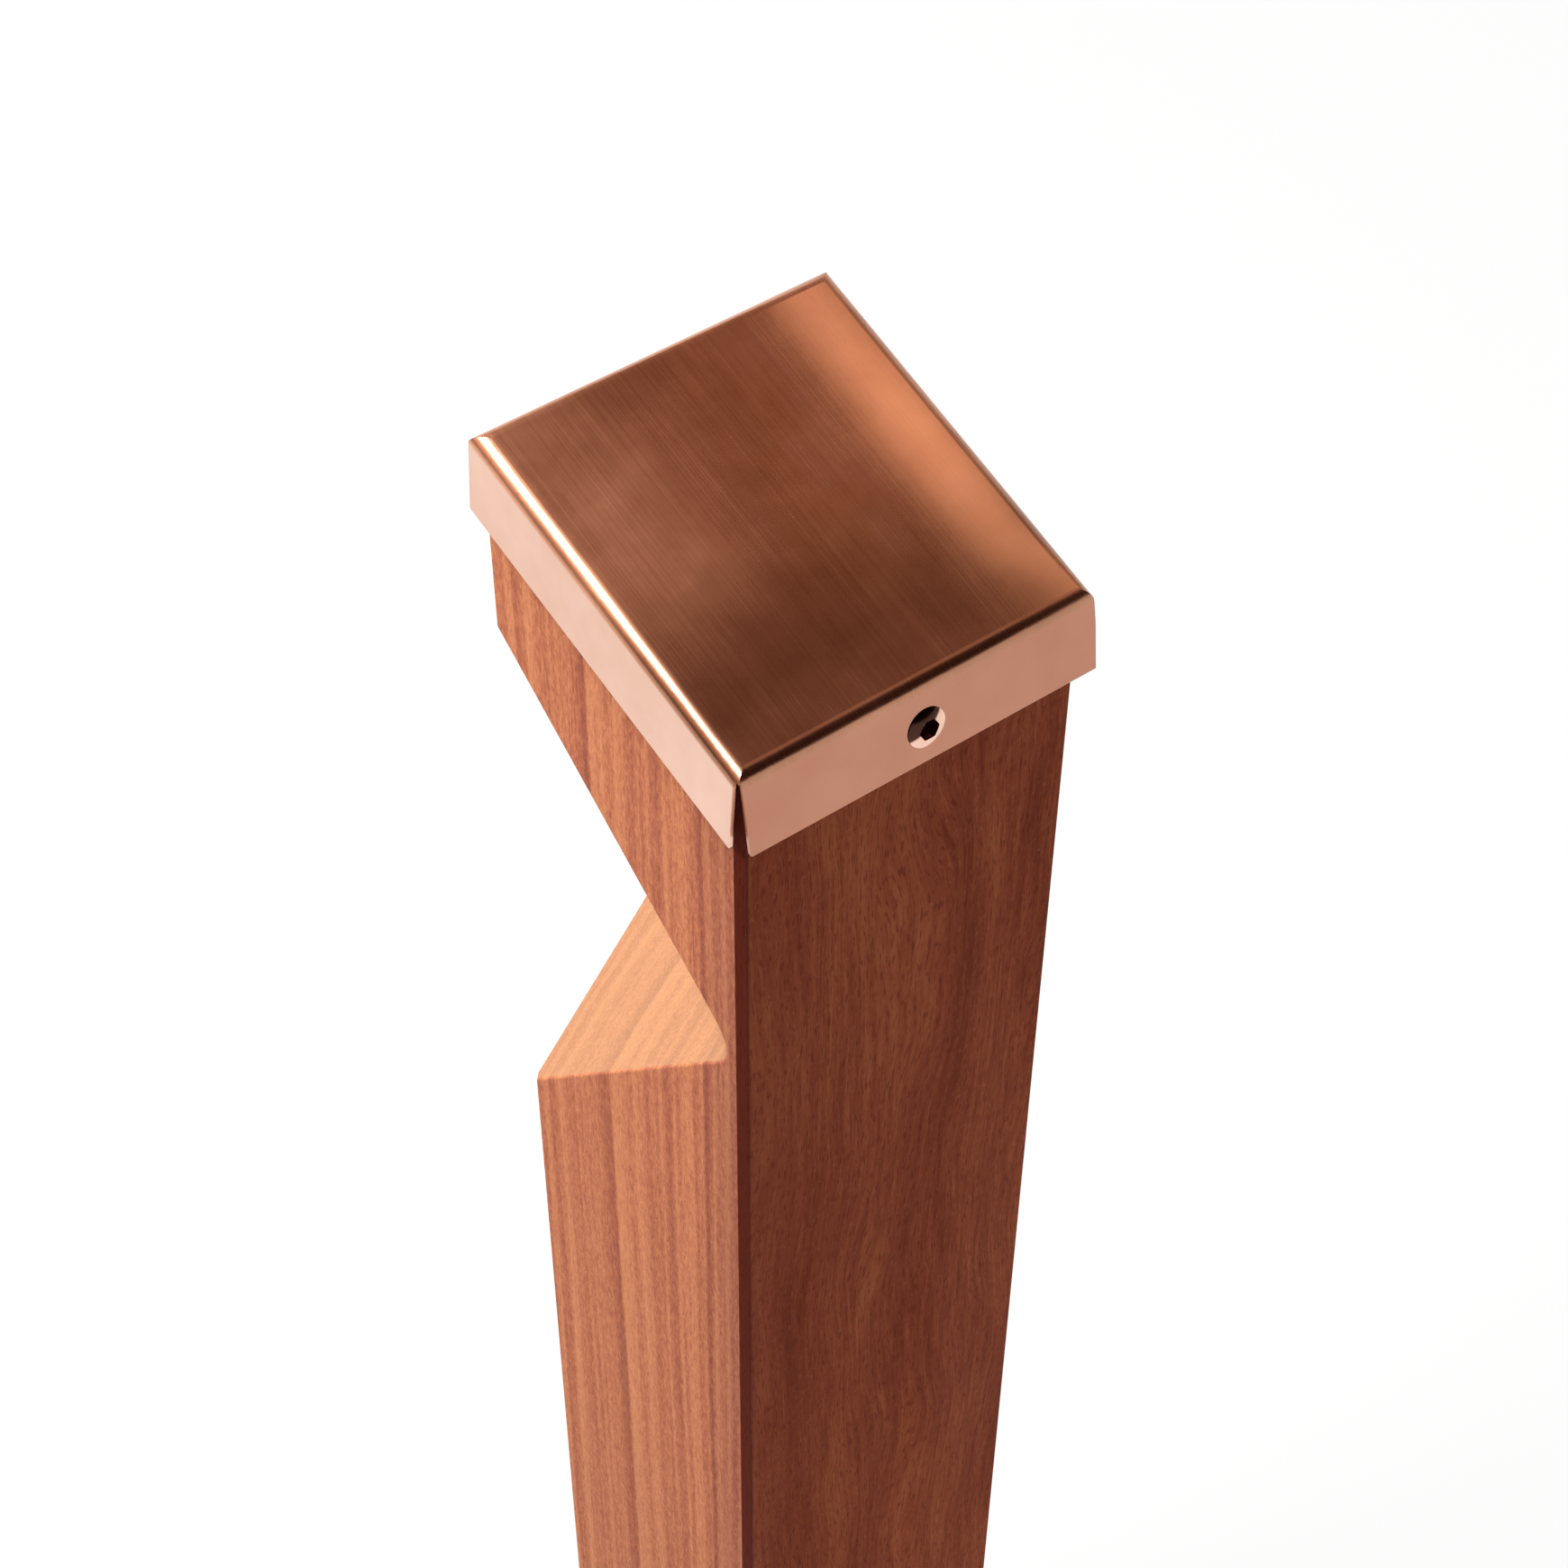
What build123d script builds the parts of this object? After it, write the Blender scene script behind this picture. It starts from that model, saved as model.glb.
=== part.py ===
"""Pillar light: a notched hardwood post with a folded copper cap and a hidden downlight.

Millimetres. +Z is up and the origin is the middle of the base plate's underside. The X and Y axes are
square to the faces of the post. The notch opens at the corner between the +X and -Y faces.
"""
import os
from math import cos, radians, sin, tan

from build123d import *

# Post
post_width = 90.0
post_arris = 1.8
cap_height = 600.0
top_slope = 16.0

# Notch: which way it faces, where its apex line lies, and how its two faces slope
notch_turn = 41.0
apex_offset = 5.3
apex_drop = 103.8
apex_radius = 11.0
sill_angle = 58.5
hood_angle = 48.1
notch_easing = 1.2

# How far a cut runs on past the surface that it starts from
overcut = 1.0

# Cap
sheet = 0.8
cap_clearance = 0.4
fold_radius = 3.4
skirt_depth = 20.3
flare_x = 1.2
flare_y = 2.6
corner_relief = 1.5
x_skirt_gap = 1.1
y_skirt_gap = 1.1
y_skirt_taper = 0.5
x_skirt_lap = 0.1
y_skirt_lap = 0.5
snip_length = 0.3
underlay_thickness = 2.0
underlay_clearance = 0.2

# Cap screws
cap_screw_aside = 1.1
cap_screw_drop = 11.8
cap_screw_head_radius = 4.8
cap_screw_head_height = 1.3
cap_screw_rim = 0.1
cap_screw_radius = 3.0
cap_screw_length = 17.0
cap_screw_drive = 4.6
cap_screw_drive_depth = 2.4
cap_screw_seat = 0.12
running_clearance = 0.08

# Lamp, a round-ended module let into the hood of the notch
lamp_from_apex = 34.0
lamp_recess = 0.6
lamp_length = 40.0
lamp_width = 16.0
lamp_depth = 10.5
lamp_wall = 1.5
lamp_ledge = 1.0
flange_length = 56.0
flange_width = 24.0
flange_thickness = 1.6
gasket_thickness = 0.8
gasket_inset = 1.0
diffuser_thickness = 2.0
pocket_clearance = 0.3
pocket_floor_gap = 0.5
board_length = 31.0
board_width = 8.0
board_thickness = 1.2
led_count = 5
led_pitch = 6.0
led_width = 3.0
led_height = 0.8
lamp_screw_spacing = 46.0
lamp_screw_radius = 1.5
lamp_screw_head_radius = 2.8
lamp_screw_length = 14.0

# Cables
lead_radius = 2.5
lead_bend = 10.0
riser_radius = 3.5
tail_radius = 2.5
grommet_wall = 1.2
grommet_flange = 2.5
grommet_flange_thickness = 1.5
lead_bore_clearance = 1.0
riser_bore_radius = 5.0

# Chamber for the control gear, bored down from the top
chamber_offset = 25.0
chamber_radius = 18.0
chamber_depth = 130.0

# Control gear
tray_thickness = 1.5
tray_width = 26.0
tray_height = 80.0
tray_foot = 18.0
tray_screw_radius = 1.75
tray_screw_head_radius = 3.2
tray_screw_length = 12.0
tray_screw_aside = 9.0
driver_depth = 18.0
driver_width = 22.0
driver_height = 34.0
driver_drop = 54.0
driver_edge = 1.5
block_depth = 14.0
block_width = 20.0
block_height = 16.0
block_lift = 14.0
gear_screw_radius = 1.5
gear_screw_head_radius = 2.6
gear_screw_head_height = 1.8
gear_screw_length = 5.0
gear_screw_margin = 6.0
clamp_screw_radius = 2.2
clamp_screw_length = 5.0
clamp_screw_recess = 1.0
clamp_pitch = 8.0
slot_width = 0.7
slot_depth = 0.8

# Base
plate_width = 140.0
plate_thickness = 8.0
plate_corner = 12.0
plate_edge = 0.8
anchor_inset = 14.0
anchor_radius = 5.5
pad_thickness = 3.0
pad_inset = 1.5
coach_inset = 12.0
coach_radius = 4.0
coach_head_radius = 7.5
coach_length = 52.0
hole_clearance = 0.2
thread_clearance = 0.1

# Inlet
inlet_radius = 8.0
inlet_hex = 18.0
inlet_hex_height = 5.0
inlet_top = 28.0
inlet_bottom = 1.0
socket_radius = 5.5
socket_depth = 12.0
pin_radius = 1.0
pin_spacing = 5.0
pin_bottom = 5.5
pin_embed = 2.0
seal_thickness = 1.2
seal_wall = 2.6
nut_hex = 20.0
nut_thickness = 3.5
nut_recess_radius = 12.5
nut_recess_depth = 5.0
foot_pocket_radius = 12.0
foot_pocket_top = 35.0

# Directions and levels that follow from the sizes above
half = post_width / 2
rise = tan(radians(top_slope))
slope_cos = cos(radians(top_slope))
turn = radians(notch_turn)
outward = Vector(cos(turn), -sin(turn), 0)
along = Vector(sin(turn), cos(turn), 0)
up = Vector(0, 0, 1)
hood = radians(hood_angle)
hood_normal = outward * sin(hood) - up * cos(hood)
apex_height = cap_height - apex_drop
post_bottom = plate_thickness + pad_thickness
anchor_spacing = plate_width - 2 * anchor_inset
coach_spacing = post_width - 2 * coach_inset
cap_half = half + cap_clearance + sheet
underlay_top = cap_height - sheet / slope_cos
post_top = underlay_top - underlay_thickness / slope_cos
gear_axis = outward * -chamber_offset
chamber_floor = cap_height - chamber_depth
driver_top = cap_height - driver_drop
block_bottom = chamber_floor + block_lift
tray_face = -chamber_offset - driver_depth / 2
lamp_out = apex_offset + lamp_from_apex * cos(hood)
lamp_up = apex_height + lamp_from_apex * sin(hood)
lamp_sink = gasket_thickness + flange_thickness + lamp_recess
lamp_seat = outward * lamp_out + up * lamp_up - hood_normal * lamp_sink
lamp_plane = Plane(lamp_seat, x_dir=along, z_dir=hood_normal)
housing_back = gasket_thickness - lamp_depth
housing_floor = housing_back + lamp_wall
housing_face = gasket_thickness + flange_thickness
pocket_depth = pocket_floor_gap - housing_back
grommet_radius = lead_radius + grommet_wall
lead_bore_radius = lead_radius + grommet_flange + lead_bore_clearance


def sloping_plane(height):
    """A plane square to the cap's slope that crosses the post's axis at a height."""
    fall = radians(top_slope)
    return Plane((0, 0, height), x_dir=(1, 0, 0), z_dir=(0, sin(fall), cos(fall)))


def above(height):
    """Everything over the sloping plane at a height."""
    reach = 4 * post_width
    return sloping_plane(height) * Pos(0, 0, reach / 2) * Box(reach, reach, reach)


def rod(radius, bottom, top):
    """An upright round bar on the Z axis."""
    return Pos(0, 0, (bottom + top) / 2) * Cylinder(radius, top - bottom)


def slot(length, width, bottom, top):
    """A round-ended bar that lies along X."""
    return Pos(0, 0, bottom) * extrude(SlotOverall(length, width), top - bottom)


def block(depth, width, bottom, top):
    """An upright square bar on the Z axis."""
    return Pos(0, 0, (bottom + top) / 2) * Box(depth, width, top - bottom)


def hexagon(across, bottom, top):
    """An upright hexagonal bar of a size across its flats."""
    return Pos(0, 0, bottom) * extrude(RegularPolygon(across / 2, 6, major_radius=False), top - bottom)


def corners(spacing):
    """The four corners of a square."""
    return GridLocations(spacing, spacing, 2, 2)


def in_gear(shape):
    """Put a shape made on the Z axis onto the chamber's axis, with its X along the notch's way out."""
    return Plane(gear_axis, x_dir=outward, z_dir=up) * shape


def countersunk_screw(radius, head_radius, length):
    """A flat-head screw that points up from its flush head at zero."""
    head = Pos(0, 0, (head_radius - radius) / 2) * Cone(head_radius, radius, head_radius - radius)
    drive = rod(head_radius / 4, 0, (head_radius - radius) / 2)
    return head + rod(radius, 0, length) - drive


def countersunk_hole(radius, head_radius, length):
    """The room that a flat-head screw takes, with its clearance."""
    wide = head_radius + hole_clearance
    narrow = radius + hole_clearance
    return Pos(0, 0, (wide - narrow) / 2) * Cone(wide, narrow, wide - narrow) + rod(narrow, 0, length)


def pan_screw(radius, head_radius, head_height, length):
    """A pan-head screw that points up: its head lies under zero."""
    return rod(radius, 0, length) + rod(head_radius, -head_height, 0)


def skirt_screw_plane(side):
    """Where a cap screw goes square into the flared skirt on the +Y (1) or -Y (-1) side."""
    reach = cap_half + flare_y * cap_screw_drop / skirt_depth
    height = cap_height - rise * reach * side - cap_screw_drop
    fall = skirt_depth + rise * flare_y * side
    return Plane((-cap_screw_aside, side * reach, height), x_dir=(1, 0, 0), z_dir=(0, fall * side, flare_y))


def cap_screw(side):
    """A low button-head screw with a hexagon socket, its head just clear of the skirt."""
    rim = cap_screw_seat + cap_screw_rim
    crown = cap_screw_seat + cap_screw_head_height
    outline = Polyline((0, crown), (0, -cap_screw_length), (cap_screw_radius, -cap_screw_length),
                       (cap_screw_radius, cap_screw_seat), (cap_screw_head_radius, cap_screw_seat),
                       (cap_screw_head_radius, rim))
    dome = RadiusArc((cap_screw_head_radius, rim), (0, crown), -dome_radius())
    profile = make_face(Plane.XZ * (outline + dome))
    drive = hexagon(cap_screw_drive, crown - cap_screw_drive_depth, crown + overcut)
    return skirt_screw_plane(side) * (revolve(profile, Axis.Z) - drive)


def dome_radius():
    """The ball that the crown of a cap screw is part of."""
    height = cap_screw_head_height - cap_screw_rim
    return (cap_screw_head_radius ** 2 + height ** 2) / (2 * height)


def cap_screw_holes():
    """The room that both cap screws take."""
    hole = rod(cap_screw_radius + running_clearance, -cap_screw_length - overcut, overcut)
    return [skirt_screw_plane(side) * hole for side in (1, -1)]


def notch():
    """The V that is sawn out of the post, with a rounded apex."""
    reach = 2 * post_width
    sill_end = apex_height - tan(radians(sill_angle)) * (reach - apex_offset)
    hood_end = apex_height + tan(hood) * (reach - apex_offset)
    outline = Polyline((apex_offset, apex_height), (reach, sill_end), (reach, hood_end), close=True)
    face = make_face(outline)
    apex = face.vertices().sort_by(Axis.X)[0]
    side = Plane((0, 0, 0), x_dir=outward, z_dir=-along)
    return side * extrude(fillet(apex, apex_radius), reach, both=True)


def lamp_pocket():
    """The round-ended pocket and rebate in the hood, and the bore for the lead behind them."""
    margin = 2 * pocket_clearance
    pocket = slot(lamp_length + margin, lamp_width + margin, -pocket_depth, overcut)
    rebate = slot(flange_length + margin, flange_width + margin, 0, lamp_sink + overcut)
    run = (lamp_out + chamber_offset) / sin(hood)
    screw = rod(lamp_screw_radius + thread_clearance, -lamp_screw_length, overcut)
    screws = [Pos(side * lamp_screw_spacing / 2, 0, 0) * screw for side in (1, -1)]
    return lamp_plane * (pocket + rebate + rod(lead_bore_radius, -run, 0) + screws)


def gear_chamber():
    """The bore under the cap, the bore for the riser and the pocket at the foot."""
    chamber = rod(chamber_radius, chamber_floor, cap_height + post_width)
    riser = rod(riser_bore_radius, post_bottom - overcut, chamber_floor + overcut)
    foot = rod(foot_pocket_radius, post_bottom - overcut, foot_pocket_top)
    pilot = rod(tray_screw_radius + thread_clearance, chamber_floor - tray_screw_length,
                chamber_floor + overcut)
    return in_gear(chamber + riser + foot + Pos(0, tray_screw_aside, 0) * pilot)


def post():
    """The hardwood post with its notch, sloping top and bores."""
    blank = block(post_width, post_width, post_bottom, cap_height + post_width)
    blank = chamfer(blank.edges().filter_by(Axis.Z), post_arris)
    wedge = notch()
    cut = blank - wedge
    cut = fillet(new_edges(blank, wedge, combined=cut), notch_easing) - above(post_top)
    coach = rod(coach_radius + thread_clearance, post_bottom - overcut, coach_length + overcut)
    cut -= [place * coach for place in corners(coach_spacing)]
    return cut - gear_chamber() - lamp_pocket() - cap_screw_holes()


def cap_form(inset, drop, depth):
    """The cap's outside shape, made smaller by an inset and lowered by a drop."""
    narrow = cap_half - inset
    share = depth / skirt_depth
    top = Rectangle(2 * narrow, 2 * narrow / slope_cos)
    wide_x = 2 * (narrow + flare_x * share)
    wide_y = 2 * (narrow + flare_y * share) / slope_cos
    form = loft([sloping_plane(cap_height - drop) * top,
                 sloping_plane(cap_height - drop - depth) * Rectangle(wide_x, wide_y)], ruled=True)
    edges = form.edges().filter_by(lambda edge: abs(height_over_slope(edge @ 0.5) + drop) < sheet / 2)
    return fillet(edges, fold_radius - inset)


def height_over_slope(spot):
    """How far a point stands over the cap's sloping top."""
    return spot.Z - cap_height + rise * spot.Y


def copper_cap():
    """The folded sheet cap, open at its four corners and pierced for the two screws."""
    outer = cap_form(0, 0, skirt_depth)
    inner = cap_form(sheet, sheet / slope_cos, skirt_depth + 2 * overcut)
    cap = outer - inner - corner_slits()
    tips = cap.edges().filter_by(is_skirt_tip)
    return chamfer(tips, snip_length) - cap_screw_holes()


def is_skirt_tip(edge):
    """Whether an edge is one of the short ones at the lower corners of the skirts."""
    return edge.length < 2 * sheet and height_over_slope(edge @ 0.5) < sheet - skirt_depth


def corner_slits():
    """The open corners of the cap: what lies beyond the ends of both skirts."""
    slits = []
    for side_x, gap_y, taper_y in ((1, y_skirt_gap, y_skirt_taper), (-1, -y_skirt_lap, 0)):
        for side_y, gap_x in ((1, x_skirt_gap), (-1, -x_skirt_lap)):
            upper = beyond_corner(side_x, side_y, gap_y, gap_x)
            lower = beyond_corner(side_x, side_y, gap_y + taper_y, gap_x)
            slits.append(loft([sloping_plane(cap_height - corner_relief) * upper,
                               sloping_plane(cap_height - skirt_depth - overcut) * lower]))
    return slits


def beyond_corner(side_x, side_y, gap_y, gap_x):
    """The part of a sloping plane beyond the ends of two skirts, each short of the corner by its gap."""
    middle = cap_half + post_width / 2
    centre = Pos(side_x * (middle - gap_y), side_y * (middle - gap_x) / slope_cos)
    return centre * Rectangle(post_width, post_width / slope_cos)


def cap_underlay():
    """The thin sheet that keeps the copper off the end grain."""
    width = 2 * (cap_half - fold_radius - underlay_clearance)
    flat = RectangleRounded(width, width, post_arris)
    return sloping_plane(underlay_top) * extrude(flat, -underlay_thickness)


def lamp_housing():
    """The cast cup of the lamp with its flange."""
    cup = slot(lamp_length, lamp_width, housing_back, housing_face)
    flange = slot(flange_length, flange_width, gasket_thickness, housing_face)
    seat = housing_face - diffuser_thickness
    window = 2 * lamp_wall
    chest = 2 * (lamp_wall + lamp_ledge)
    upper = slot(lamp_length - window, lamp_width - window, seat, housing_face + overcut)
    lower = slot(lamp_length - chest, lamp_width - chest, housing_floor, housing_face)
    entry = rod(grommet_radius + thread_clearance, housing_back - overcut, housing_floor + overcut)
    return lamp_plane * (cup + flange - upper - lower - entry - lamp_screw_room())


def lamp_screw_room():
    """The countersunk holes in the lamp's flange."""
    hole = Rotation(180, 0, 0) * countersunk_hole(lamp_screw_radius, lamp_screw_head_radius,
                                                  lamp_screw_length)
    return [Pos(side * lamp_screw_spacing / 2, 0, housing_face) * hole for side in (1, -1)]


def lamp_screws():
    """Two flat-head screws through the lamp's flange into the wood."""
    screw = Rotation(180, 0, 0) * countersunk_screw(lamp_screw_radius, lamp_screw_head_radius,
                                                    lamp_screw_length)
    return Compound([lamp_plane * Pos(side * lamp_screw_spacing / 2, 0, housing_face) * screw
                     for side in (1, -1)])


def lamp_gasket():
    """The soft ring between the flange and the wood."""
    margin = 2 * gasket_inset
    ring = slot(flange_length - margin, flange_width - margin, 0, gasket_thickness)
    middle = 2 * pocket_clearance
    ring -= slot(lamp_length + middle, lamp_width + middle, -overcut, gasket_thickness + overcut)
    return lamp_plane * (ring - lamp_screw_room())


def lamp_diffuser():
    """The opal window, flush with the flange."""
    margin = 2 * (lamp_wall + thread_clearance)
    seat = housing_face - diffuser_thickness
    return lamp_plane * slot(lamp_length - margin, lamp_width - margin, seat, housing_face)


def lamp_board():
    """The board that carries the light sources, on the floor of the cup."""
    return lamp_plane * block(board_length, board_width, housing_floor, housing_floor + board_thickness)


def lamp_leds():
    """The row of light sources on the board."""
    level = housing_floor + board_thickness
    source = block(led_width, led_width, level, level + led_height)
    return Compound([lamp_plane * place * source for place in GridLocations(led_pitch, 0, led_count, 1)])


def lamp_grommet():
    """The soft bush where the lead enters the cup."""
    flange = rod(lead_radius + grommet_flange, housing_back - grommet_flange_thickness, housing_back)
    sleeve = rod(grommet_radius, housing_back - grommet_flange_thickness, housing_floor)
    hole = rod(lead_radius + running_clearance, housing_back - 2 * grommet_flange_thickness,
               housing_floor + overcut)
    return lamp_plane * (flange + sleeve - hole)


def lamp_lead():
    """The cable from the lamp's board, over a bend, down into the top of the driver."""
    side = Plane((0, 0, 0), x_dir=outward, z_dir=-along)
    depth = housing_floor - lamp_sink
    start = Vector(lamp_out + depth * sin(hood), lamp_up - depth * cos(hood))
    heading = Vector(-sin(hood), cos(hood))
    inner = Vector(-cos(hood), -sin(hood))
    bend_start_x = lead_bend * (1 + cos(hood)) - chamber_offset
    bend_start = start + heading * ((start.X - bend_start_x) / sin(hood))
    centre = bend_start + inner * lead_bend
    bend_end = centre + Vector(-lead_bend, 0)
    crest = centre + Vector(0, lead_bend)
    path = Line(start, bend_start) + ThreePointArc(bend_start, crest, bend_end)
    path += Line(bend_end, (bend_end.X, driver_top))
    run = side * path
    mouth = Plane(run @ 0, z_dir=run % 0)
    return sweep(mouth * Circle(lead_radius), path=run)


def gear_tray():
    """The bent plate that stands on the chamber's floor and carries the gear."""
    wall = Pos(tray_face + chamber_offset - tray_thickness / 2, 0, 0)
    wall *= block(tray_thickness, tray_width, chamber_floor, chamber_floor + tray_height)
    back = tray_face + chamber_offset - tray_thickness
    foot = Pos(back + tray_foot / 2, 0, 0)
    foot *= block(tray_foot, tray_width, chamber_floor, chamber_floor + tray_thickness)
    under = chamber_floor - overcut
    over = chamber_floor + tray_thickness + overcut
    riser = rod(riser_radius + hole_clearance, under, over)
    fixing = rod(tray_screw_radius + hole_clearance, under, over)
    tray = wall + foot - riser - Pos(0, tray_screw_aside, 0) * fixing
    return in_gear(tray) - gear_screw_set(gear_screw_radius + hole_clearance, driver_screw_levels())\
        - gear_screw_set(gear_screw_radius + hole_clearance, block_screw_levels())


def driver_screw_levels():
    """The heights of the two screws that hold the driver."""
    return [driver_top - gear_screw_margin, driver_top - driver_height + gear_screw_margin]


def block_screw_levels():
    """The height of the screw that holds the terminal block."""
    return [block_bottom + block_height / 2]


def gear_screw_plane(level):
    """The back of the tray at a height, facing the gear."""
    back = outward * (tray_face - tray_thickness) + up * level
    return Plane(back, x_dir=along, z_dir=outward)


def gear_screw_set(radius, levels):
    """Round bars where screws go through the tray into the gear."""
    bar = rod(radius, -overcut, tray_thickness + gear_screw_length)
    return [gear_screw_plane(level) * bar for level in levels]


def gear_screws(levels):
    """Pan-head screws from behind the tray."""
    screw = pan_screw(gear_screw_radius, gear_screw_head_radius, gear_screw_head_height,
                      tray_thickness + gear_screw_length - hole_clearance)
    return Compound([gear_screw_plane(level) * screw for level in levels])


def tray_screw():
    """The screw that holds the tray to the chamber's floor."""
    screw = pan_screw(tray_screw_radius, tray_screw_head_radius, gear_screw_head_height,
                      tray_screw_length + tray_thickness - hole_clearance)
    level = chamber_floor + tray_thickness
    return in_gear(Pos(0, tray_screw_aside, level) * Rotation(180, 0, 0) * screw)


def driver():
    """The potted driver."""
    case = block(driver_depth, driver_width, driver_top - driver_height, driver_top)
    case = fillet(case.edges().filter_by(Axis.Z), driver_edge)
    return in_gear(case) - gear_screw_set(gear_screw_radius + thread_clearance, driver_screw_levels())


def terminal_block():
    """The block where the riser meets the driver's tail, with a recess for each clamp screw."""
    middle = (block_depth - driver_depth) / 2
    body = Pos(middle, 0, 0) * block(block_depth, block_width, block_bottom, block_bottom + block_height)
    body = in_gear(body) - clamp_bars(clamp_screw_radius + thread_clearance, clamp_screw_recess + overcut)
    return body - gear_screw_set(gear_screw_radius + thread_clearance, block_screw_levels())


def clamp_bars(radius, beyond):
    """Round bars where the clamp screws sit in the face of the terminal block."""
    face = outward * (tray_face + block_depth - clamp_screw_recess) + up * (block_bottom + block_height / 2)
    front = Plane(face, x_dir=along, z_dir=outward)
    bar = rod(radius, -clamp_screw_length, beyond)
    return [front * place * bar for place in GridLocations(clamp_pitch, 0, 2, 1)]


def terminal_screws():
    """Slotted clamp screws sunk in the face of the terminal block."""
    level = block_bottom + block_height / 2
    face = outward * (tray_face + block_depth - clamp_screw_recess) + up * level
    front = Plane(face, x_dir=along, z_dir=outward)
    groove = block(slot_width, 3 * clamp_screw_radius, -slot_depth, overcut)
    screw = rod(clamp_screw_radius, -clamp_screw_length, 0) - groove
    return Compound([front * place * screw for place in GridLocations(clamp_pitch, 0, 2, 1)])


def driver_tail():
    """The short cable between the driver and the terminal block."""
    return in_gear(rod(tail_radius, block_bottom + block_height, driver_top - driver_height))


def riser_cable():
    """The cable up the bore, from the inlet to the terminal block."""
    return in_gear(rod(riser_radius, inlet_top, block_bottom))


def foot_pad():
    """The soft pad between the post and the plate."""
    side = post_width - 2 * pad_inset
    pad = Pos(0, 0, plate_thickness) * extrude(RectangleRounded(side, side, post_arris), pad_thickness)
    coach = rod(coach_radius + hole_clearance, plate_thickness - overcut, post_bottom + overcut)
    pad -= [place * coach for place in corners(coach_spacing)]
    return pad - in_gear(rod(foot_pocket_radius, plate_thickness - overcut, post_bottom + overcut))


def base_plate():
    """The steel plate with its anchor holes, countersinks and the recess for the inlet's nut."""
    flat = RectangleRounded(plate_width, plate_width, plate_corner)
    plate = extrude(flat, plate_thickness)
    plate = chamfer(plate.faces().sort_by(Axis.Z)[-1].edges(), plate_edge)
    anchor = rod(anchor_radius, -overcut, plate_thickness + overcut)
    plate -= [place * anchor for place in corners(anchor_spacing)]
    coach = countersunk_hole(coach_radius, coach_head_radius, plate_thickness + overcut)
    plate -= [place * coach for place in corners(coach_spacing)]
    plate -= in_gear(rod(inlet_radius + hole_clearance, -overcut, plate_thickness + overcut))
    return plate - in_gear(rod(nut_recess_radius, -overcut, nut_recess_depth))


def coach_screws():
    """Four flat-head screws up through the plate into the post."""
    screw = countersunk_screw(coach_radius, coach_head_radius, coach_length)
    return Compound([place * screw for place in corners(coach_spacing)])


def inlet_socket():
    """The socket for the supply plug, with a hexagon that bears on the seal."""
    seat = plate_thickness + seal_thickness
    body = rod(inlet_radius, inlet_bottom, inlet_top) + hexagon(inlet_hex, seat, seat + inlet_hex_height)
    body -= rod(socket_radius, inlet_bottom - overcut, inlet_bottom + socket_depth)
    return in_gear(body - pin_bars(pin_radius + thread_clearance, inlet_bottom + socket_depth + pin_embed))


def pin_bars(radius, top):
    """The two contact pins as round bars."""
    return [place * rod(radius, pin_bottom, top) for place in GridLocations(pin_spacing, 0, 2, 1)]


def inlet_pins():
    """The contacts in the socket."""
    return in_gear(Compound(pin_bars(pin_radius, inlet_bottom + socket_depth + pin_embed)))


def inlet_seal():
    """The flat ring between the socket's hexagon and the plate."""
    bore = inlet_radius + hole_clearance
    ring = rod(bore + seal_wall - hole_clearance, plate_thickness, plate_thickness + seal_thickness)
    return in_gear(ring - rod(bore, plate_thickness - overcut, plate_thickness + seal_thickness + overcut))


def inlet_nut():
    """The nut that holds the socket in the plate."""
    nut = hexagon(nut_hex, nut_recess_depth - nut_thickness, nut_recess_depth)
    return in_gear(nut - rod(inlet_radius + thread_clearance, 0, nut_recess_depth + overcut))


pieces = {
    "post": post(),
    "copper_cap": copper_cap(),
    "cap_underlay": cap_underlay(),
    "front_cap_screw": cap_screw(1),
    "back_cap_screw": cap_screw(-1),
    "lamp_housing": lamp_housing(),
    "lamp_gasket": lamp_gasket(),
    "lamp_diffuser": lamp_diffuser(),
    "lamp_board": lamp_board(),
    "lamp_leds": lamp_leds(),
    "lamp_screws": lamp_screws(),
    "lamp_grommet": lamp_grommet(),
    "lamp_lead": lamp_lead(),
    "gear_tray": gear_tray(),
    "tray_screw": tray_screw(),
    "driver": driver(),
    "driver_screws": gear_screws(driver_screw_levels()),
    "driver_tail": driver_tail(),
    "terminal_block": terminal_block(),
    "terminal_fixing": gear_screws(block_screw_levels()),
    "terminal_screws": terminal_screws(),
    "riser_cable": riser_cable(),
    "foot_pad": foot_pad(),
    "base_plate": base_plate(),
    "coach_screws": coach_screws(),
    "inlet_socket": inlet_socket(),
    "inlet_pins": inlet_pins(),
    "inlet_seal": inlet_seal(),
    "inlet_nut": inlet_nut(),
}

os.makedirs("parts", exist_ok=True)
for name, shape in pieces.items():
    export_step(shape, f"parts/{name}.step")
    size = shape.bounding_box().size
    print(f"{name}: {len(shape.solids())} solid(s), {size.X:.1f} x {size.Y:.1f} x {size.Z:.1f} mm")
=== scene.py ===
# %% [markdown]
# # Pillar light
# A square hardwood post with a diagonal notch sawn into it, a folded copper cap on its sloping top, and
# a lamp hidden in the roof of the notch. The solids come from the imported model. This lesson gives each
# of them its finish, sets up a small studio round them, and places the camera.

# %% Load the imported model
from math import cos, radians, sin, tan

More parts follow.
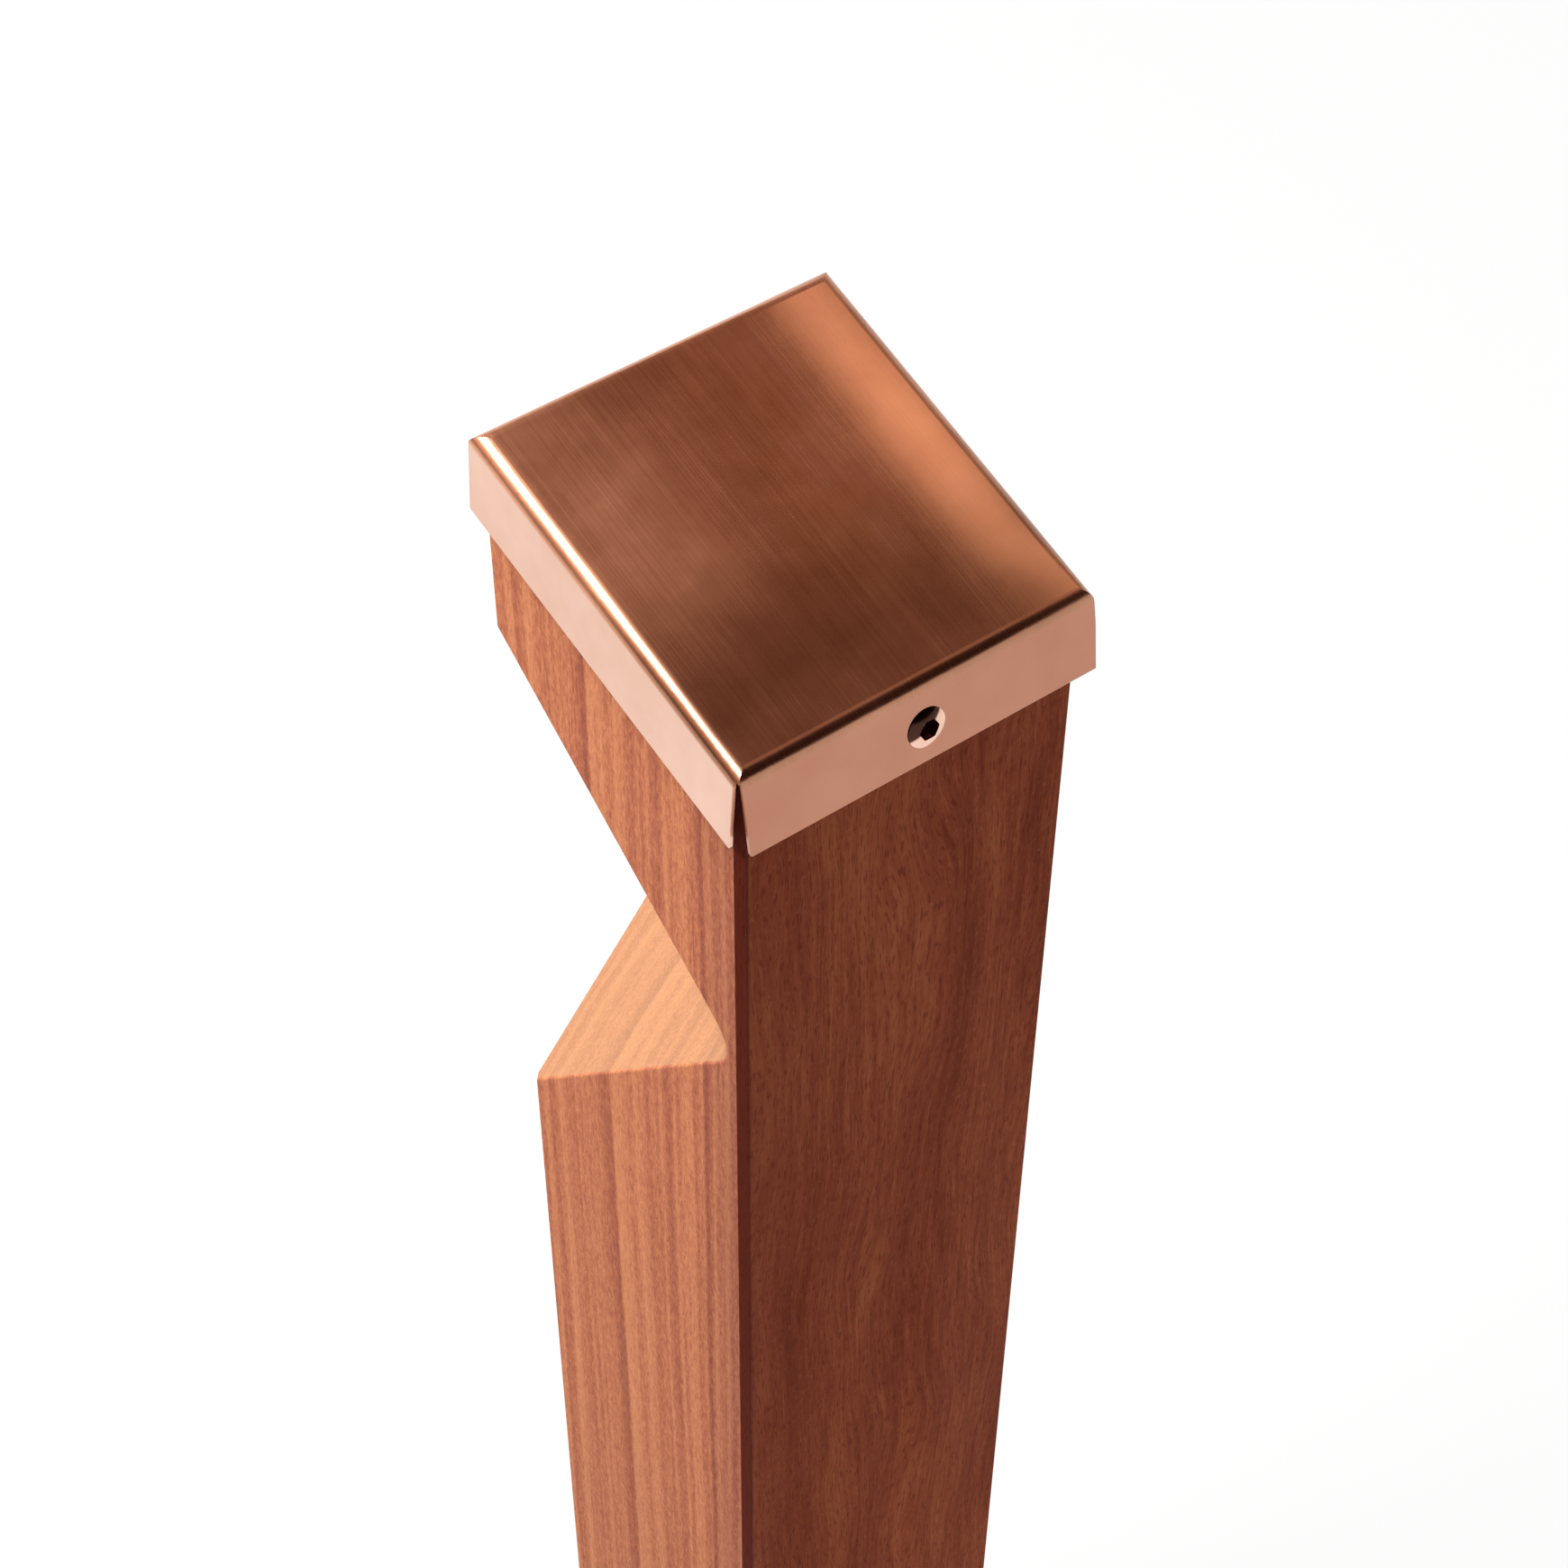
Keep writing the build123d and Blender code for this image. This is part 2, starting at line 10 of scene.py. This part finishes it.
import bpy
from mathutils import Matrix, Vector

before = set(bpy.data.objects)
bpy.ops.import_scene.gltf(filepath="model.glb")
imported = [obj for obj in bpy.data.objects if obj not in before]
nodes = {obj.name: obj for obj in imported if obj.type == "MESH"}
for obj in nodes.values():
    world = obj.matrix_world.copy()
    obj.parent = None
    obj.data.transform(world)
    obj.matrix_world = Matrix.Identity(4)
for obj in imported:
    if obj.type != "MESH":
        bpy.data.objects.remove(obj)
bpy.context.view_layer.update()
scene = bpy.context.scene

# %% [markdown]
# ## Sizes
# Some finishes follow the shape: they change at an arris of the post or at a fold of the cap. These are the
# sizes of the model that they need, in metres.

# %% Sizes
post_half = 0.045
post_arris = 0.0018
arris_start = post_half - post_arris
arris_sum = 2 * post_half - post_arris
cap_height = 0.6
cap_slope = tan(radians(16.0))
fold_start = 0.0412
fold_end = 0.0463
skirt_start = 0.0456
print("post", 2 * post_half, "wide, cap", cap_height, "high")

# %% [markdown]
# ## Camera
# The picture looks down on the cap from its near corner. A camera in Blender is a place, a direction and
# a lens. The lens is given as a focal length for a 36 mm sensor, and the shift slides the picture over the
# sensor, so the uprights lean as they do in the picture while the camera itself stays level.

# %% Camera
view_turn = radians(143.206)
view_rise = radians(50.844)
view_aim = Vector((0.001438, -0.002907, 0.416977))
view_distance = 0.8266
backwards = Vector((sin(view_turn) * cos(view_rise), -cos(view_turn) * cos(view_rise), sin(view_rise)))
camera = bpy.data.objects.new("camera", bpy.data.cameras.new("camera"))
camera.location = view_aim + backwards * view_distance
camera.rotation_euler = (-backwards).to_track_quat("-Z", "Y").to_euler()
camera.data.sensor_width = 36.0
camera.data.lens = 75.954
camera.data.shift_x = 0.0096
camera.data.shift_y = 0.1786
camera.data.clip_start = 0.01
scene.collection.objects.link(camera)
scene.camera = camera
print("camera at", [round(v, 3) for v in camera.location])

# %% [markdown]
# ## Node helpers
# A finish in Blender is a small graph of nodes. Wiring it by hand takes many lines, so a few helpers add
# a node, set its values or link its sockets, and give back the socket that comes out.

# %% Node helpers
def add(tree, kind, values, **settings):
    """A node with its settings. A value that is a socket is linked, and any other value is set."""
    node = tree.nodes.new("ShaderNode" + kind)
    for name, setting in settings.items():
        setattr(node, name, setting)
    for name, value in values.items():
        if isinstance(value, bpy.types.NodeSocket):
            tree.links.new(value, node.inputs[name])
        else:
            node.inputs[name].default_value = value
    return node


def place(tree):
    """The point on the piece, in metres, in the frame of the whole object."""
    return add(tree, "TexCoord", {}).outputs["Object"]


def axes(tree, vector):
    """The X, Y and Z of a vector."""
    return add(tree, "SeparateXYZ", {0: vector}).outputs


def stretched(tree, vector, scale, turn=(0, 0, 0)):
    """A vector turned and scaled, so that a pattern on it gets longer or finer each way."""
    return add(tree, "Mapping", {"Vector": vector, "Rotation": turn, "Scale": scale}).outputs[0]


def noise(tree, vector, scale=1.0, detail=2.0, roughness=0.5):
    """Cloudy noise from 0 to 1."""
    values = {"Vector": vector, "Scale": scale, "Detail": detail, "Roughness": roughness}
    return add(tree, "TexNoise", values).outputs["Fac"]


def layers(tree, distance, scale, detail=2.0, roughness=0.5):
    """Noise along one distance only: layers of uneven thickness."""
    values = {"W": distance, "Scale": scale, "Detail": detail, "Roughness": roughness}
    return add(tree, "TexNoise", values, noise_dimensions="1D").outputs["Fac"]


def maths(tree, operation, first, second=0.0, third=0.0):
    """One sum on numbers."""
    return add(tree, "Math", {0: first, 1: second, 2: third}, operation=operation).outputs[0]


def between(tree, value, low, high, start=0.0, end=1.0):
    """A smooth step: start below low, end above high."""
    values = {"Value": value, "From Min": low, "From Max": high, "To Min": start, "To Max": end}
    return add(tree, "MapRange", values, interpolation_type="SMOOTHSTEP").outputs[0]


def tones(tree, value, stops):
    """Colours along a number: each stop is a position and a colour."""
    node = add(tree, "ValToRGB", {"Fac": value})
    ramp = node.color_ramp
    while len(ramp.elements) < len(stops):
        ramp.elements.new(1.0)
    for element, (position, colour) in zip(ramp.elements, stops):
        element.position = position
        element.color = (*colour, 1.0)
    return node.outputs["Color"]


def mixed(tree, share, first, second, way="MIX"):
    """Two colours mixed by a share."""
    node = add(tree, "Mix", {}, data_type="RGBA", blend_type=way)
    for index, value in ((0, share), (6, first), (7, second)):
        if isinstance(value, bpy.types.NodeSocket):
            tree.links.new(value, node.inputs[index])
        elif index == 0:
            node.inputs[index].default_value = value
        else:
            node.inputs[index].default_value = (*value, 1.0)
    return node.outputs[2]


def bumped(tree, height, depth, under=None, share=1.0):
    """A surface raised by a height from 0 to 1, times a depth in metres. The share fades it out."""
    values = {"Height": height, "Distance": depth, "Strength": share}
    if under is not None:
        values["Normal"] = under
    return add(tree, "Bump", values).outputs[0]


def new_finish(name, values):
    """A material, its node tree and its shader, with the values that are the same all over."""
    material = bpy.data.materials.new(name)
    material.use_nodes = True
    tree = material.node_tree
    shader = tree.nodes["Principled BSDF"]
    for socket, value in values.items():
        shader.inputs[socket].default_value = value
    return material, tree, shader


def wire(tree, shader, sockets):
    """Link what varies over the surface to the shader."""
    for name, source in sockets.items():
        tree.links.new(source, shader.inputs[name])


def dress(material, *names):
    """Give a finish to some of the model's nodes."""
    for name in names:
        mesh = nodes[name].data
        mesh.materials.clear()
        mesh.materials.append(material)
    print(material.name, "on", ", ".join(names))


# %% [markdown]
# ## Studio
# The floor is plain and pale. Copper shows what stands round it, so the studio is part of its look, and
# its mirrors meet the same floor and room that the camera sees. One long soft box stands high on the left
# of the picture. It lights the left face of the post, and its image is the bright line along the fold of
# the cap. A weaker warm one on the right is the glow along the far side of the top. The room is dim and
# warm overhead, which is what the flat top mirrors, lighter on the left and nearly black in front, where
# nothing is lit but one pale strip high up. Behind the post stands a low white backdrop.

# %% Floor
def seen_rays(tree):
    """One for the rays that see the background, straight or in a mirror, and zero for the rest."""
    path = add(tree, "LightPath", {}).outputs
    seen = maths(tree, "MAXIMUM", path["Is Camera Ray"], path["Is Glossy Ray"])
    return maths(tree, "MAXIMUM", seen, path["Is Transmission Ray"])


def make_floor():
    """A wide plain pale floor."""
    bpy.ops.mesh.primitive_plane_add(size=30.0)
    floor = bpy.context.object
    floor.name = "pale_floor"
    values = {"Roughness": 0.9, "Specular IOR Level": 0.1, "Emission Color": (0.86, 0.86, 0.86, 1.0)}
    material, tree, shader = new_finish("pale_floor", values)
    seen = seen_rays(tree)
    paint = mixed(tree, seen, (0.34, 0.34, 0.34), (0.10, 0.10, 0.10))
    wire(tree, shader, {"Base Color": paint, "Emission Strength": seen})
    floor.data.materials.append(material)
    return floor


floor = make_floor()
print("floor", floor.name)

# %% Soft boxes
def soft_box(name, spot, aim, width, depth, watts, colour=(1.0, 1.0, 1.0)):
    """A rectangular lamp at a spot that faces an aim."""
    lamp = bpy.data.lights.new(name, "AREA")
    lamp.shape = "RECTANGLE"
    lamp.size = width
    lamp.size_y = depth
    lamp.energy = watts
    lamp.color = colour
    box = bpy.data.objects.new(name, lamp)
    box.location = spot
    box.rotation_euler = (Vector(aim) - Vector(spot)).to_track_quat("-Z", "Y").to_euler()
    scene.collection.objects.link(box)
    return box


soft_box("left_box", (0.80, -0.75, 2.39), (0.0, -0.1, 0.45), 1.9, 0.28, 114.0)
soft_box("right_box", (-0.95, -0.15, 1.30), (0.0, 0.0, 0.6), 0.5, 0.5, 0.80, colour=(1.0, 0.80, 0.62))

# %% World
def make_room(tree):
    """The colours of the room by direction: dim and warm, with a strip, a dark front and a backdrop."""
    ahead = axes(tree, add(tree, "TexCoord", {}).outputs["Generated"])
    x, y, z = ahead["X"], ahead["Y"], ahead["Z"]
    room = tones(tree, z, [(0.0, (0.46, 0.35, 0.29)), (0.3, (0.30, 0.18, 0.13)),
                           (0.85, (0.16, 0.066, 0.040))])
    left = tones(tree, z, [(0.0, (0.03, 0.012, 0.006)), (0.16, (0.10, 0.045, 0.025)),
                           (0.32, (0.60, 0.37, 0.27))])
    room = mixed(tree, between(tree, x, 0.45, 0.85), room, left)
    strip = maths(tree, "MULTIPLY", between(tree, y, 0.0, 0.06), between(tree, z, 0.4, 0.6))
    room = mixed(tree, strip, room, (0.50, 0.33, 0.26))
    unlit = maths(tree, "MULTIPLY", between(tree, y, 0.26, 0.36), between(tree, z, -0.02, 0.04))
    room = mixed(tree, unlit, room, (0.04, 0.014, 0.009))
    backdrop = maths(tree, "MULTIPLY", between(tree, y, -0.60, -0.80), between(tree, z, 0.34, 0.24))
    return mixed(tree, backdrop, room, (0.92, 0.90, 0.88))


def make_world():
    """A plain even light for matt surfaces, and a dim warm room to look at, straight or in a mirror."""
    world = bpy.data.worlds.new("room")
    scene.world = world
    world.use_nodes = True
    tree = world.node_tree
    tree.nodes.clear()
    room = make_room(tree)
    even = add(tree, "Background", {"Color": (1.0, 0.96, 0.92, 1.0), "Strength": 0.24})
    mirror = add(tree, "Background", {"Color": room, "Strength": 1.0})
    both = add(tree, "MixShader", {0: seen_rays(tree), 1: even.outputs[0], 2: mirror.outputs[0]})
    add(tree, "OutputWorld", {"Surface": both.outputs[0]})
    return world


world = make_world()
scene.view_settings.view_transform = "Standard"
print("world", world.name)

# %% [markdown]
# ## Hardwood
# The growth layers of this post lie flat against its right face, so they show as upright stripes on the
# left face. Noise along one distance makes layers of uneven thickness, and a second noise, stretched up
# the post, makes them drift. The right face is the red heart of the tree: there the fibres wander, and
# short dark pores lie among them, and painted shade darkens it towards the left. Painted shade also
# darkens the planed arris between the two faces, and the striped faces as they near it. The sawn faces
# inside the notch are paler than the oiled skin: partly bare sawn wood, partly painted sheen.

# %% Hardwood
def make_striped(tree, spot, y):
    """Upright stripes of uneven width and tone for the faces across the layers, with painted shade near the
    arris.
    """
    drift = noise(tree, stretched(tree, spot, (16.0, 16.0, 2.4)), detail=2.0)
    layer = maths(tree, "MULTIPLY_ADD", drift, 0.016, y)
    broad = maths(tree, "MULTIPLY", layers(tree, layer, 150.0, detail=1.5, roughness=0.6), 0.48)
    fine = layers(tree, layer, 380.0, detail=1.0)
    grain = maths(tree, "MULTIPLY_ADD", fine, 0.16, broad)
    streaks = noise(tree, stretched(tree, spot, (620.0, 620.0, 12.0)), detail=3.0, roughness=0.65)
    grain = maths(tree, "MULTIPLY_ADD", streaks, 0.20, grain)
    specks = noise(tree, stretched(tree, spot, (1300.0, 1300.0, 420.0)), detail=3.0, roughness=0.75)
    grain = maths(tree, "MULTIPLY_ADD", specks, 0.50, grain)
    colour = tones(tree, grain, [(0.49, (0.29, 0.086, 0.054)), (0.61, (0.44, 0.132, 0.068)),
                                 (0.72, (0.59, 0.208, 0.097)), (0.87, (0.72, 0.290, 0.130))])
    # Painted shade: the striped faces darken as they near the front arris.
    rim = between(tree, y, 0.026, 0.040)
    return mixed(tree, rim, colour, (0.74, 0.71, 0.78), "MULTIPLY"), grain


def make_heart(tree, spot, x, y, z):
    """Red heartwood whose fibres wander, with painted shade towards the left, and dark pores among them."""
    wander = noise(tree, stretched(tree, spot, (24.0, 24.0, 7.0)), detail=2.0)
    moved = add(tree, "CombineXYZ", {"X": maths(tree, "MULTIPLY_ADD", wander, 0.03, x), "Y": y, "Z": z})
    moved = moved.outputs[0]
    fibres = noise(tree, stretched(tree, moved, (900.0, 900.0, 38.0)), detail=4.0, roughness=0.65)
    figure = noise(tree, stretched(tree, moved, (60.0, 60.0, 6.0)), detail=2.0)
    both = maths(tree, "MULTIPLY_ADD", fibres, 0.55, maths(tree, "MULTIPLY", figure, 0.45))
    colour = tones(tree, both, [(0.36, (0.33, 0.058, 0.022)), (0.50, (0.50, 0.108, 0.042)),
                                (0.64, (0.68, 0.185, 0.075))])
    # Painted shade: the heart face darkens towards the left.
    shade = between(tree, x, 0.0, 0.044, 0.0, 0.35)
    colour = mixed(tree, shade, colour, (0.33, 0.058, 0.022))
    pores = noise(tree, stretched(tree, moved, (2200.0, 2200.0, 220.0)), detail=1.0)
    pores = between(tree, pores, 0.55, 0.66, 0.0, 0.55)
    return mixed(tree, pores, colour, (0.22, 0.020, 0.009)), pores


def sawn_share(tree, x, y, flecks):
    """One inside the notch, with a ragged edge, and zero on the faces and arrises of the post."""
    out_x = maths(tree, "ABSOLUTE", x)
    out_y = maths(tree, "ABSOLUTE", y)
    ragged = maths(tree, "MULTIPLY_ADD", flecks, 0.0010, maths(tree, "MAXIMUM", out_x, out_y))
    sawn = between(tree, ragged, post_half + 0.0001, post_half + 0.0003, 1.0, 0.0)
    out_sum = maths(tree, "ADD", out_x, out_y)
    planed = between(tree, out_sum, arris_sum - 0.0012, arris_sum - 0.0002, 1.0, 0.0)
    return maths(tree, "MULTIPLY", sawn, planed)


def make_hardwood():
    """Red hardwood: striped, with a heart side, painted shade on the arris and paler sawn faces."""
    material, tree, shader = new_finish("oiled_hardwood", {"Specular IOR Level": 0.04})
    spot = place(tree)
    x, y, z = axes(tree, spot)
    striped, grain = make_striped(tree, spot, y)
    heart, pores = make_heart(tree, spot, x, y, z)
    heart_side = between(tree, y, arris_start - 0.0001, arris_start + 0.0002)
    colour = mixed(tree, heart_side, striped, heart)
    flecks = noise(tree, stretched(tree, spot, (1500.0, 1500.0, 700.0)), detail=2.0)
    # The sawn faces are paler: partly bare unoiled wood, partly painted sheen of the lit sill.
    pale = mixed(tree, 0.58, striped, (0.365, 0.222, 0.116))
    colour = mixed(tree, sawn_share(tree, x, y, flecks), colour, pale)
    colour = mixed(tree, between(tree, flecks, 0.56, 0.74, 0.0, 0.20), colour, (0.78, 0.32, 0.16))
    # Painted shade: the rounded arris between the two faces is painted nearly black-red.
    corner = between(tree, maths(tree, "ADD", x, y), arris_sum - 0.0012, arris_sum, 0.0, 0.90)
    colour = mixed(tree, maths(tree, "MULTIPLY", corner, heart_side), colour, (0.14, 0.018, 0.009))
    rough = between(tree, grain, 0.43, 0.83, 0.66, 0.52)
    relief = maths(tree, "SUBTRACT", maths(tree, "MULTIPLY", flecks, 0.5), pores)
    wire(tree, shader, {"Base Color": colour, "Roughness": rough, "Normal": bumped(tree, relief, 0.0001)})
    return material


dress(make_hardwood(), "post")

# %% [markdown]
# ## Copper
# The cap is folded from one sheet. Its top was brushed along the fall of the roof, and a painted
# reflection of the dim room makes it a darker copper, darkest along its low edge. The skirts are bright,
# except the front one, which is painted darker as a reflection of the dim floor. The solid is flat on top,
# and two bumps bend what it mirrors: one along its right side, as if the sheet bowed down there, and a
# slight one where it eases into the left fold. The height over the slope tells the top from the fold and
# the skirt.

# %% Copper
def copper_tones(tree, y, top, brush, clouds):
    """Bright skirts; painted dim reflection on the front skirt and the top, darkest at its low edge."""
    bright = tones(tree, clouds, [(0.32, (0.800, 0.490, 0.365)), (0.68, (0.885, 0.580, 0.455))])
    # Painted reflection: the front skirt is darkened, as the dim floor it mirrors.
    front_skirt = between(tree, y, skirt_start, skirt_start + 0.0006)
    bright = mixed(tree, front_skirt, bright, (0.63, 0.445, 0.38), "MULTIPLY")
    # Painted reflection: the top is a darker copper, as the dim room it mirrors, mottled by brush and
    # clouds.
    top_mottle = maths(tree, "MULTIPLY_ADD", brush, 0.25, maths(tree, "MULTIPLY", clouds, 0.75))
    dark = tones(tree, top_mottle, [(0.34, (0.70, 0.320, 0.188)), (0.66, (0.93, 0.450, 0.272))])
    # Painted reflection: darker still towards the low front edge of the top.
    low_edge = between(tree, y, -0.008, 0.034, 1.0, 0.60)
    dark = mixed(tree, 1.0, dark, low_edge, "MULTIPLY")
    return mixed(tree, top, bright, dark)


def copper_gloss(tree, x, y, top, brush, clouds):
    """Smooth all over, and rubbed a little duller on the upper left, the right and the left fold."""
    upper = between(tree, y, -0.005, 0.030, 1.0, 0.0)
    rubbed = maths(tree, "MULTIPLY", between(tree, x, 0.0, 0.030, 0.0, 0.07), upper)
    rubbed = maths(tree, "MULTIPLY_ADD", brush, 0.10, rubbed)
    rubbed = maths(tree, "ADD", rubbed, between(tree, x, -0.018, -0.034, 0.0, 0.05))
    rubbed = maths(tree, "ADD", rubbed, between(tree, x, 0.042, 0.045, 0.0, 0.02))
    return maths(tree, "MULTIPLY_ADD", rubbed, top, maths(tree, "MULTIPLY_ADD", clouds, 0.08, 0.16))


def copper_relief(tree, x, y, top, brush):
    """The bend of the reflections on the right, the ease into the left fold, and the brush lines."""
    past = maths(tree, "MAXIMUM", maths(tree, "SUBTRACT", -0.014, x), 0.0)
    bowed = maths(tree, "MULTIPLY", top, between(tree, y, 0.024, 0.044, 1.0, 0.4))
    sag = bumped(tree, maths(tree, "MULTIPLY", maths(tree, "POWER", past, 3.0), -128.0), 1.0, share=bowed)
    eased = bumped(tree, between(tree, x, fold_start, fold_end, 1.0, 0.0), 0.00027, under=sag)
    return bumped(tree, brush, 0.000003, under=eased, share=top)


def make_copper():
    """Sheet copper, brushed and a little darker on top."""
    material, tree, shader = new_finish("sheet_copper", {"Metallic": 1.0})
    spot = place(tree)
    x, y, z = axes(tree, spot)
    over = maths(tree, "MULTIPLY_ADD", y, cap_slope, maths(tree, "SUBTRACT", z, cap_height))
    top = between(tree, over, -0.0034, -0.0024)
    brush = noise(tree, stretched(tree, spot, (2600.0, 16.0, 16.0)), detail=3.0, roughness=0.7)
    clouds = noise(tree, spot, scale=38.0, detail=4.0, roughness=0.6)
    colour = copper_tones(tree, y, top, brush, clouds)
    rough = copper_gloss(tree, x, y, top, brush, clouds)
    wire(tree, shader, {"Base Color": colour, "Roughness": rough,
                        "Normal": copper_relief(tree, x, y, top, brush)})
    return material


def make_screw_copper():
    """Smooth turned copper, with painted shade where it faces up and to the left."""
    material, tree, shader = new_finish("screw_copper", {"Metallic": 1.0})
    facing = axes(tree, add(tree, "NewGeometry", {}).outputs["Normal"])
    clouds = noise(tree, place(tree), scale=420.0, detail=3.0)
    colour = tones(tree, clouds, [(0.3, (0.90, 0.560, 0.420)), (0.7, (0.96, 0.620, 0.480))])
    # Painted shade: the head is nearly black where it faces up and to the left.
    shade_facing = maths(tree, "MULTIPLY_ADD", facing["X"], 0.6, facing["Z"])
    colour = mixed(tree, between(tree, shade_facing, 0.17, 0.25), colour, (0.07, 0.030, 0.022))
    wire(tree, shader, {"Base Color": colour, "Roughness": maths(tree, "MULTIPLY_ADD", clouds, 0.08, 0.10)})
    return material


dress(make_copper(), "copper_cap")
dress(make_screw_copper(), "front_cap_screw", "back_cap_screw")

# %% [markdown]
# ## Lamp
# The window in the roof of the notch glows warm. Its cup is grey cast metal with a fine grain.

# %% Lamp
def make_opal():
    """A glowing opal window, with a faint haze in its glow and milk."""
    material, tree, shader = new_finish("glowing_opal", {"Roughness": 0.35, "Emission Strength": 2.0})
    haze = noise(tree, place(tree), scale=160.0, detail=2.0)
    glow = tones(tree, haze, [(0.3, (1.0, 0.72, 0.42)), (0.7, (1.0, 0.80, 0.52))])
    milk = tones(tree, haze, [(0.3, (0.86, 0.84, 0.78)), (0.7, (0.90, 0.88, 0.82))])
    wire(tree, shader, {"Base Color": milk, "Emission Color": glow})
    return material


def make_speckled(name, low, high, scale, rough, metal=0.0, depth=0.00002, stretch=(1.0, 1.0, 1.0)):
    """A finish of two close tones in a fine grain, with a matching bump."""
    material, tree, shader = new_finish(name, {"Metallic": metal})
    grain = noise(tree, stretched(tree, place(tree), stretch), scale=scale, detail=3.0, roughness=0.6)
    colour = tones(tree, grain, [(0.32, low), (0.68, high)])
    gloss = between(tree, grain, 0.3, 0.7, rough - 0.06, rough + 0.06)
    wire(tree, shader, {"Base Color": colour, "Roughness": gloss, "Normal": bumped(tree, grain, depth)})
    return material


dress(make_opal(), "lamp_diffuser")
alloy = make_speckled("cast_alloy", (0.10, 0.095, 0.09), (0.16, 0.155, 0.15), 2200.0, 0.42, metal=0.8)
dress(alloy, "lamp_housing")
dress(make_speckled("board_lacquer", (0.78, 0.79, 0.76), (0.86, 0.86, 0.84), 700.0, 0.35), "lamp_board")
dress(make_speckled("light_source", (0.88, 0.72, 0.24), (0.94, 0.80, 0.34), 1800.0, 0.30), "lamp_leds")

# %% [markdown]
# ## Base and gear
# The plate is brushed stainless steel, the pad and seals are black rubber, and the gear in the chamber is
# plain trade goods: a grey driver case, a cream terminal block, brass clamps and black cable.

# %% Base and gear
steel = make_speckled("brushed_steel", (0.50, 0.49, 0.47), (0.62, 0.61, 0.59), 1.0, 0.48, metal=1.0,
                      stretch=(40.0, 1800.0, 900.0))
dress(steel, "base_plate", "coach_screws", "lamp_screws", "tray_screw", "driver_screws", "terminal_fixing")
zinc = make_speckled("zinc_sheet", (0.52, 0.53, 0.54), (0.66, 0.67, 0.68), 260.0, 0.38, metal=1.0)
dress(zinc, "gear_tray")
rubber = make_speckled("black_rubber", (0.018, 0.018, 0.018), (0.035, 0.034, 0.033), 1500.0, 0.72)
dress(rubber, "cap_underlay", "lamp_gasket", "lamp_grommet", "foot_pad", "inlet_seal")
sheath = make_speckled("cable_sheath", (0.022, 0.022, 0.024), (0.042, 0.042, 0.045), 900.0, 0.55)
dress(sheath, "lamp_lead", "driver_tail", "riser_cable")
dress(make_speckled("driver_case", (0.20, 0.21, 0.22), (0.27, 0.28, 0.29), 1300.0, 0.55), "driver")
dress(make_speckled("terminal_cream", (0.72, 0.68, 0.58), (0.80, 0.76, 0.66), 800.0, 0.42), "terminal_block")
black = make_speckled("moulded_black", (0.02, 0.02, 0.021), (0.04, 0.04, 0.042), 1900.0, 0.48)
dress(black, "inlet_socket", "inlet_nut")
brass = make_speckled("contact_brass", (0.72, 0.52, 0.22), (0.82, 0.62, 0.30), 1400.0, 0.28, metal=1.0)
dress(brass, "terminal_screws", "inlet_pins")
